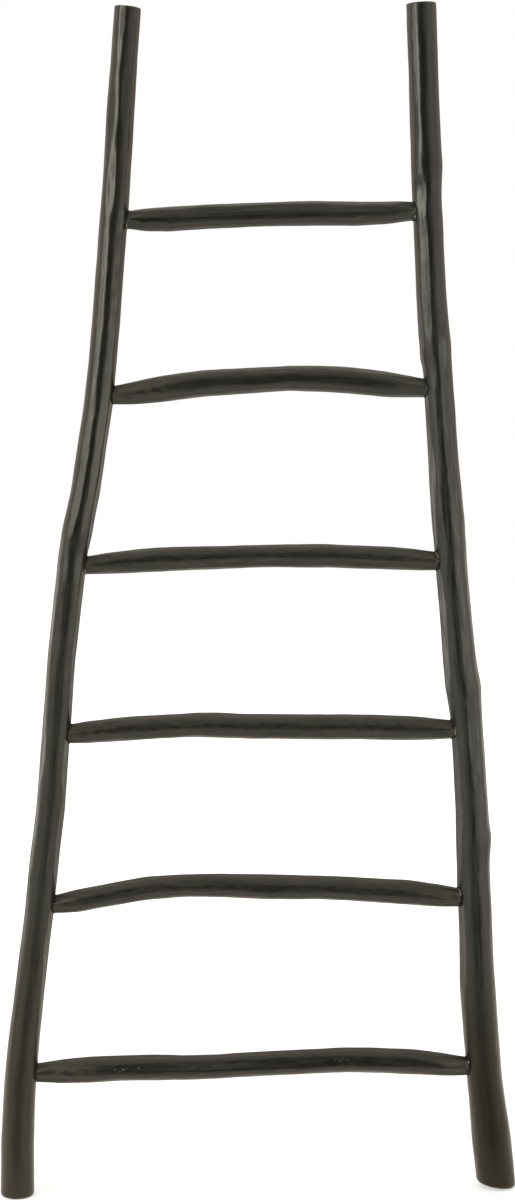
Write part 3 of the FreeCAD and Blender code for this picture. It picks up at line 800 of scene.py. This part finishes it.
pole_skins = {side: solid_tree(poles[side]) for side in SIDES}
rung_skins = {number: solid_tree(rungs[number]) for number in RUNGS}
beads = bead_tree()
glue = glue_and_painted_crevice_shade()
for side in SIDES:
    for number in RUNGS:
        points, bareness = joint_line(side, number, pole_skins[side], rung_skins[number])
        mesh = bpy.data.meshes.new("bead")
        mesh.from_pydata(points, [(i, (i + 1) % BEAD_STEPS) for i in range(BEAD_STEPS)], [])
        mesh.attributes.new("bare", "FLOAT", "POINT").data.foreach_set("value", bareness)
        bead = grown(f"glue_bead_{side}_{number}", mesh, beads, {
            "Radius": BEAD_RADIUS, "Unevenness": BEAD_UNEVENNESS, "Seed": 2.0 * number + (side == "right"),
            "Finish": glue})
        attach(bead, "root")

# The pegs: square wooden pins driven in from the back through pole and tenon, trimmed by hand almost flush
# with the pole and lacquered over with it. Only their end grain shows.
PEG_PROUD = 0.6 * MM
PEG_CORNER = 0.5 * MM
PEG_CORNER_STEPS = 4
PEG_FOOT = 1 * MM
# The rings of the trimmed end: how wide they are against the peg, and how far they are worn down.
# The first one still belongs to the sides.
PEG_END = ((1.0, 0.3 * MM), (0.98, 0.1 * MM), (0.9, 0.0), (0.6, 0.0), (0.3, 0.0))
BEHIND_LADDER = 0.2


def peg_mesh(name, node, skin, finish):
    """A square pin with eased corners, whose back end follows the pole's round a little proud of it."""
    points = np.array([vertex.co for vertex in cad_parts[node].data.vertices])
    low, high = points.min(0), points.max(0)
    middle, half = (low + high) / 2, (high[0] - low[0]) / 2
    turns = np.radians(np.linspace(0, 90, PEG_CORNER_STEPS))
    corner = half - PEG_CORNER + PEG_CORNER * np.stack([np.cos(turns), np.sin(turns)], axis=-1)
    quarter_turn = np.array([(0, -1), (1, 0)])
    outline = np.vstack([corner @ np.linalg.matrix_power(quarter_turn, quarter).T for quarter in range(4)])
    rings = [[(x, low[1] + rise, z) for x, z in outline] for rise in (0, PEG_FOOT)]
    for share, drop in PEG_END:
        ring = []
        for x, z in outline * share:
            start = Vector((middle[0] + x, BEHIND_LADDER, middle[2] + z))
            back = skin.ray_cast(start, Vector((0, -1, 0)))[0].y
            ring.append((x, back + PEG_PROUD - drop, z))
        rings.append(ring)
    count = len(outline)
    side_rings = len(rings) - len(PEG_END) + 1
    corners = [(middle[0] + x, y, middle[2] + z) for ring in rings for x, y, z in ring]
    grain = [(x, z, y) for ring in rings for x, y, z in ring]
    ends = [float(i >= side_rings * count) for i in range(len(corners))]
    faces = []
    for ring in range(len(rings) - 1):
        for i in range(count):
            j = (i + 1) % count
            faces.append((ring * count + i, (ring + 1) * count + i, (ring + 1) * count + j, ring * count + j))
    faces.append(tuple(range(count)))
    faces.append(tuple(range(len(corners) - 1, len(corners) - count - 1, -1)))
    mesh = bpy.data.meshes.new(name)
    mesh.from_pydata(corners, [], faces)
    mesh.attributes.new("grain", "FLOAT_VECTOR", "POINT").data.foreach_set("vector", np.array(grain).ravel())
    mesh.attributes.new("end_grain", "FLOAT", "POINT").data.foreach_set("value", ends)
    mesh.materials.append(finish)
    return mesh


for side in SIDES:
    for number in RUNGS:
        node = f"peg_{side}_{number}"
        mesh = peg_mesh(f"{node}_pin", node, pole_skins[side], pole_wood[side])
        peg = bpy.data.objects.new(f"{node}_pin", mesh)
        bpy.context.scene.collection.objects.link(peg)
        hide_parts(node)
        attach(peg, "root")

# The floor: a pale paper sheet, which stays white to the camera and still takes the ladder's soft shadow.
# The lacquer mirrors a painted glow of warm light on it, brightest a little way behind the ladder, which only
# reflections see.
FLOOR_COLOUR = "#f2f2f2"
FLOOR_SHADE = "#d2d3d6"
FLOOR_GLOW = "#ffead4"
FLOOR_WIDTH = 9.0
FLOOR_FRONT = -0.16
FLOOR_BACK = 9.0
# How bright the painted glow on the mirrored floor is, from its front edge to where it ends
GLOW_END = 2.0
GLOW_LEVELS = ((0.0, 0.45), (0.06, 0.7), (0.2, 0.85), (0.3, 1.0), (0.37, 0.85), (0.46, 0.42), (0.65, 0.15),
               (1.0, 0.08))
# How far the paper is lifted to white near the feet and far from them
NEAR = 0.4
FAR = 2.0
NEAR_LIFT = 0.58
FAR_LIFT = 0.95


def follow(tree, value, start, stop, points):
    """A node that follows a curve of levels, as that value runs from the start to the stop."""
    share = add_node(tree, "ShaderNodeMapRange", {"Value": value, "From Min": start, "From Max": stop})
    node = add_node(tree, "ShaderNodeFloatCurve", {"Value": share})
    curve = node.mapping.curves[0]
    curve.points[0].location = points[0]
    curve.points[1].location = points[-1]
    for point in points[1:-1]:
        curve.points.new(*point)
    node.mapping.update()
    return node


def pale_paper():
    """Matt white paper, lifted to white for the camera, and with a painted glow of warm light that the
    lacquer mirrors.
    """
    material = bpy.data.materials.new("Matt white paper")
    material.use_nodes = True
    tree = material.node_tree
    tree.nodes.clear()
    sight = add_node(tree, "ShaderNodeLightPath")
    mirrored = add_node(tree, "ShaderNodeMath",
                        {0: sight.outputs["Is Glossy Ray"], 1: sight.outputs["Is Transmission Ray"]},
                        operation="MAXIMUM")
    place = add_node(tree, "ShaderNodeTexCoord")
    depth = add_node(tree, "ShaderNodeSeparateXYZ", {0: place.outputs["Object"]})
    # The painted glow of warm light, which only reflections see
    behind = follow(tree, depth.outputs["Y"], FLOOR_FRONT, GLOW_END, GLOW_LEVELS)
    backdrop = add_node(tree, "ShaderNodeMath", {0: mirrored, 1: behind}, operation="MULTIPLY")
    far = add_node(tree, "ShaderNodeVectorMath", {0: place.outputs["Object"]}, operation="LENGTH")
    white = add_node(tree, "ShaderNodeMapRange",
                     {"Value": far.outputs["Value"], "From Min": NEAR, "From Max": FAR, "To Min": NEAR_LIFT,
                      "To Max": FAR_LIFT})
    seen = add_node(tree, "ShaderNodeMath",
                    {0: sight.outputs["Is Camera Ray"], 1: white}, operation="MULTIPLY")
    lift = add_node(tree, "ShaderNodeMath", {0: backdrop, 1: seen}, operation="MAXIMUM")
    tint = add_node(tree, "ShaderNodeMix",
                    {0: mirrored, 6: linear(FLOOR_COLOUR), 7: linear(FLOOR_GLOW)}, data_type="RGBA")
    glow = add_node(tree, "ShaderNodeEmission", {"Color": tint.outputs[2], "Strength": lift})
    paper = add_node(tree, "ShaderNodeBsdfDiffuse", {"Color": linear(FLOOR_SHADE)})
    both = add_node(tree, "ShaderNodeAddShader", {0: paper, 1: glow})
    add_node(tree, "ShaderNodeOutputMaterial", {"Surface": both})
    return material


sheet = bpy.data.meshes.new("floor")
sheet.from_pydata([(x, y, cad_box[0].z) for x, y in (
    (-FLOOR_WIDTH / 2, FLOOR_FRONT), (FLOOR_WIDTH / 2, FLOOR_FRONT),
    (FLOOR_WIDTH / 2, FLOOR_BACK), (-FLOOR_WIDTH / 2, FLOOR_BACK))], [], [(0, 1, 2, 3)])
sheet.materials.append(pale_paper())
floor = bpy.data.objects.new("floor", sheet)
bpy.context.scene.collection.objects.link(floor)

# The studio: a tall soft box with a brighter core high on the left, a lower one on the right, low ones at the
# front left and behind on both sides, and one overhead. The room is warm behind the ladder and dark behind
# the camera, which draws the dark stripe down each branch.
LAMP_COLOUR = "#fffdf0"
ROOM_COLOUR = "#fcfcf2"
BACKDROP_COLOUR = "#ffeedc"
EVEN_LIGHT = 0.75
ROOM_LEVEL = 2.4
# How bright the room is from its dark side round to the backdrop, and from straight down to straight up
WALL_LEVELS = ((0.0, 0.04), (0.05, 0.25), (0.17, 0.56), (0.5, 0.78), (0.75, 0.66), (0.88, 0.38), (1.0, 0.25))
HEIGHT_LEVELS = ((0.0, 0.8), (0.05, 0.78), (0.1, 0.73), (0.25, 0.73), (0.5, 0.75), (1.0, 0.55))
DARK_SIDE_TURN = math.radians(9)
DARK_SIDE = (-math.sin(DARK_SIDE_TURN), -math.cos(DARK_SIDE_TURN), 0)
# Over which part of the way round the room turns from its own colour to the backdrop's
BACKDROP_FROM, BACKDROP_TO = 0.8, -0.4
# The two ends of each box on the floor plan, its lower and upper edge, and how bright it is (1 is white)
SOFT_BOXES = {
    "left_box": ((-1.25, -1.9), (-2.05, -0.8), 0.8, 2.6, 2.2),
    "left_core": ((-1.46, -1.55), (-1.73, -1.17), 1.2, 2.5, 2.8),
    "right_box": ((1.0, -2.2), (2.2, -0.5), 0.3, 1.15, 1.4),
    "low_left_box": ((-2.2, 0.4), (-1.78, 1.65), 0.1, 0.9, 1.7),
    "low_front_box": ((-0.3, -2.3), (-1.8, -1.2), -0.35, 0.45, 0.6),
    "low_right_box": ((1.35, 0.4), (1.15, 1.0), 0.1, 0.9, 1.2),
    "overhead_box": ((-1.3, 0.0), (1.3, 0.0), 0.0, 2.4, 0.6),
}
OVERHEAD_PLACE = (0, 0.6, 2.8)


def soft_box(name, near, far, low, high, level):
    """An upright area lamp between two places on the floor plan, which faces the ladder."""
    lamp = bpy.data.lights.new(name, "AREA")
    lamp.shape = "RECTANGLE"
    lamp.size = (Vector(far) - Vector(near)).length
    lamp.size_y = high - low
    lamp.energy = level * math.pi * lamp.size * lamp.size_y
    lamp.color = linear(LAMP_COLOUR)[:3]
    box = bpy.data.objects.new(name, lamp)
    middle = (Vector(near) + Vector(far)) / 2
    box.location = (*middle, (low + high) / 2)
    along = (Vector(far) - Vector(near)).normalized()
    facing = Vector((-along.y, along.x, 0))
    if facing.xy.dot(middle) > 0:
        facing.negate()
    box.rotation_euler = facing.to_track_quat("-Z", "Y").to_euler()
    box.visible_camera = False
    bpy.context.scene.collection.objects.link(box)
    return box


lamps = {name: soft_box(name, *place) for name, place in SOFT_BOXES.items()}
# The overhead one is made upright like the others, then hung up to face straight down
lamps["overhead_box"].location = OVERHEAD_PLACE
lamps["overhead_box"].rotation_euler = (0, 0, 0)

world = bpy.data.worlds.new("Studio")
bpy.context.scene.world = world
world.use_nodes = True
tree = world.node_tree
tree.nodes.clear()
sight = add_node(tree, "ShaderNodeLightPath")
way = add_node(tree, "ShaderNodeTexCoord")
part = add_node(tree, "ShaderNodeSeparateXYZ", {0: way.outputs["Generated"]})
away = add_node(tree, "ShaderNodeVectorMath",
                {0: way.outputs["Generated"], 1: DARK_SIDE}, operation="DOT_PRODUCT")
walls = follow(tree, away.outputs["Value"], 1.0, -1.0, WALL_LEVELS)
height = follow(tree, part.outputs["Z"], -1.0, 1.0, HEIGHT_LEVELS)
level = add_node(tree, "ShaderNodeMath", {0: height, 1: ROOM_LEVEL}, operation="MULTIPLY")
backdrop = add_node(tree, "ShaderNodeMath", {0: walls, 1: level}, operation="MULTIPLY")
shown = add_node(tree, "ShaderNodeMath",
                 {0: sight.outputs["Is Camera Ray"], 1: sight.outputs["Is Transmission Ray"]},
                 operation="MAXIMUM")
behind = add_node(tree, "ShaderNodeMapRange",
                  {"Value": away.outputs["Value"], "From Min": BACKDROP_FROM, "From Max": BACKDROP_TO})
tint = add_node(tree, "ShaderNodeMix",
                {0: behind, 6: linear(ROOM_COLOUR), 7: linear(BACKDROP_COLOUR)}, data_type="RGBA")
even = add_node(tree, "ShaderNodeBackground", {"Color": linear(ROOM_COLOUR), "Strength": EVEN_LIGHT})
studio = add_node(tree, "ShaderNodeBackground", {"Color": tint.outputs[2], "Strength": backdrop})
white = add_node(tree, "ShaderNodeBackground", {"Color": (1, 1, 1, 1), "Strength": 1.0})
room = add_node(tree, "ShaderNodeMixShader", {0: sight.outputs["Is Glossy Ray"], 1: even, 2: studio})
sky = add_node(tree, "ShaderNodeMixShader", {0: shown, 1: room, 2: white})
add_node(tree, "ShaderNodeOutputWorld", {"Surface": sky})

# The camera: a long lens three metres in front of the ladder and a little left of its middle, as high as the
# fifth rung and tipped slightly down. Its focal length is given in pixels of a picture of that height.
CAMERA_PLACE = (-0.18095, -3.0949, 1.020)
CAMERA_TURN = -3.3
CAMERA_DIP = 4.796
FOCAL_PIXELS = 2474.6
IMAGE_HEIGHT = 1200
lens = bpy.data.cameras.new("camera")
lens.lens = lens.sensor_width * FOCAL_PIXELS / IMAGE_HEIGHT
camera = bpy.data.objects.new("camera", lens)
camera.location = CAMERA_PLACE
camera.rotation_euler = (math.radians(90 - CAMERA_DIP), 0, math.radians(CAMERA_TURN))
bpy.context.scene.collection.objects.link(camera)
bpy.context.scene.camera = camera
bpy.context.scene.view_settings.view_transform = "Standard"
